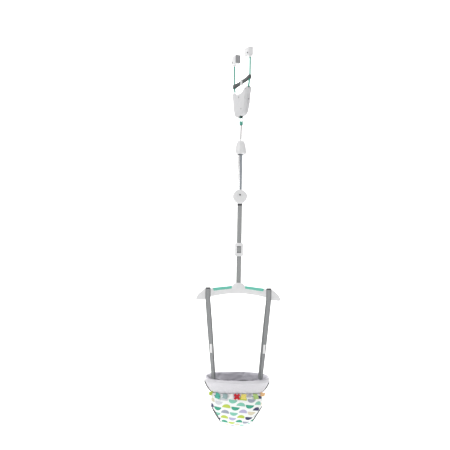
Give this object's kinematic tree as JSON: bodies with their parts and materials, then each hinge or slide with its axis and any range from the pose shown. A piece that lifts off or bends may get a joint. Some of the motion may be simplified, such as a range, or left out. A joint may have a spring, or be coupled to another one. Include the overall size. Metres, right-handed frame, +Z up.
{
  "type": "doorway baby jumper",
  "caption": "Doorway baby jumper: fabric seat on a spreader bar and webbing, hung by a spring from a clamp for a door header.",
  "frame": {"origin": "middle of the ledge plane under the two hook blocks, between them", "axes": "+Z up along the suspension line, the seat faces -Y, +X to the right seen from the front; the clamp is turned 20 degrees about Z"},
  "size_m": [0.3766, 0.2356, 1.668],
  "materials": {
    "shell": "moulded pale grey shell of the door clamp, satin with a soft sheen",
    "white_plastic": "white moulded plastic, fine satin",
    "teal": "teal powder coat, even and slightly glossy",
    "teal_grip": "soft teal grip moulding, matt",
    "steel": "zinc-plated steel",
    "black_steel": "black oxide steel",
    "rubber": "soft grey rubber pad",
    "webbing": "grey polyester webbing with a ribbed weave",
    "dark_webbing": "near-black cord and webbing",
    "sleeve": "blue-grey woven sleeve over the spring",
    "collar": "pale grey padded fabric",
    "pouch": "white printed cotton with rows of coloured half discs",
    "binding": "black edge binding",
    "ribbon": "satin play ribbons in several colours",
    "tag": "plain white sewn tag"
  },
  "bodies": {
    "clamp_housing": {"housing_left_shell": "shell", "housing_right_shell": "shell", "near_pivot_pin": "steel", "far_pivot_pin": "steel", "housing_screw_upper": "black_steel", "housing_screw_lower": "black_steel", "strap_buckle": "white_plastic"},
    "near_arm": {"near_rod": "teal", "near_lever": "steel", "near_hook_block": "white_plastic", "near_wall_pad": "rubber", "near_block_screw": "black_steel", "near_safety_strap": "webbing"},
    "far_arm": {"far_rod": "teal", "far_lever": "steel", "far_hook_block": "white_plastic", "far_wall_pad": "rubber", "far_block_screw": "black_steel", "far_safety_strap": "webbing"},
    "shank": {"draw_shank": "black_steel", "draw_pin": "steel"},
    "hook": {"snap_hook": "teal"},
    "gate": {"hook_gate": "teal"},
    "cord": {"hanger_cord": "dark_webbing", "cord_ferrule": "steel"},
    "bell": {"bell_left_half": "white_plastic", "bell_right_half": "white_plastic", "upper_spring_anchor": "steel"},
    "carrier": {"spring": "steel", "spring_sleeve": "sleeve", "limit_strap": "dark_webbing", "disc_front_shell": "white_plastic", "disc_rear_shell": "white_plastic", "disc_screw": "black_steel", "lower_spring_anchor": "steel", "webbing_roller": "steel", "upper_webbing": "webbing"},
    "height_slider": {"slider": "white_plastic", "slider_bar": "white_plastic", "lower_webbing": "webbing"},
    "spreader": {"bar_front_shell": "white_plastic", "bar_rear_shell": "white_plastic", "left_grip": "teal_grip", "right_grip": "teal_grip", "hub_pin": "steel", "bar_screw_left": "black_steel", "bar_screw_right": "black_steel"},
    "seat": {"left_strap": "webbing", "right_strap": "webbing", "left_tag": "tag", "right_tag": "tag", "rim_collar": "collar", "seat_pouch": "pouch", "seat_liner": "collar", "left_leg_binding": "binding", "right_leg_binding": "binding", "ribbon_band": "ribbon"}
  },
  "joints": [
    {"name": "near_arm_open", "type": "hinge", "parent": "clamp_housing", "child": "near_arm", "pos_m": [0.0277, -0.07612, -0.141], "axis": [0.9397, 0.342, 0], "range_deg": [0, 12], "deforming": ["near_safety_strap"]},
    {"name": "far_arm_open", "type": "hinge", "parent": "clamp_housing", "child": "far_arm", "pos_m": [-0.0277, 0.07612, -0.141], "axis": [0.9397, 0.342, 0], "range_deg": [-12, 0], "deforming": ["far_safety_strap"]},
    {"name": "shank_draw", "type": "slide", "parent": "clamp_housing", "child": "shank", "axis": [0, 0, 1], "range_m": [0, 0.0205]},
    {"name": "hook_swing", "type": "hinge", "parent": "shank", "child": "hook", "pos_m": [0, 0, -0.2507], "axis": [0.9397, 0.342, 0], "range_deg": [-25, 25]},
    {"name": "gate_open", "type": "hinge", "parent": "hook", "child": "gate", "pos_m": [0.00611, 0.00222, -0.2705], "axis": [0.342, -0.9397, 0], "range_deg": [0, 17], "stiffness_Nm_per_rad": 0.02, "springref_deg": -17.19},
    {"name": "cord_sway", "type": "hinge", "parent": "hook", "child": "cord", "pos_m": [0, 0, -0.2813], "axis": [0, 1, 0], "range_deg": [-18, 18]},
    {"name": "bell_swivel", "type": "hinge", "parent": "cord", "child": "bell", "pos_m": [0, 0, -0.352], "axis": [0, 0, 1], "continuous": true},
    {"name": "spring_stretch", "type": "slide", "parent": "bell", "child": "carrier", "axis": [0, 0, -1], "range_m": [0, 0.12], "stiffness_N_per_m": 600, "springref_m": -0.06, "deforming": ["spring", "spring_sleeve", "limit_strap"]},
    {"name": "slider_travel", "type": "slide", "parent": "carrier", "child": "height_slider", "axis": [0, 0, 1], "range_m": [-0.045, 0.12], "deforming": ["upper_webbing"]},
    {"name": "bar_height", "type": "slide", "parent": "height_slider", "child": "spreader", "axis": [0, 0, 1], "range_m": [-0.24, 0.09], "deforming": ["lower_webbing"]},
    {"name": "seat_tilt", "type": "hinge", "parent": "spreader", "child": "seat", "pos_m": [0, 0, -1.0295], "axis": [1, 0, 0], "range_deg": [-10, 10]}
  ],
  "couplings": [
    {"joint": "far_arm_open", "follows": "near_arm_open", "ratio": -1},
    {"joint": "shank_draw", "follows": "near_arm_open", "m_per_rad": 0.0965},
    {"joint": "bar_height", "follows": "slider_travel", "ratio": -2}
  ]
}
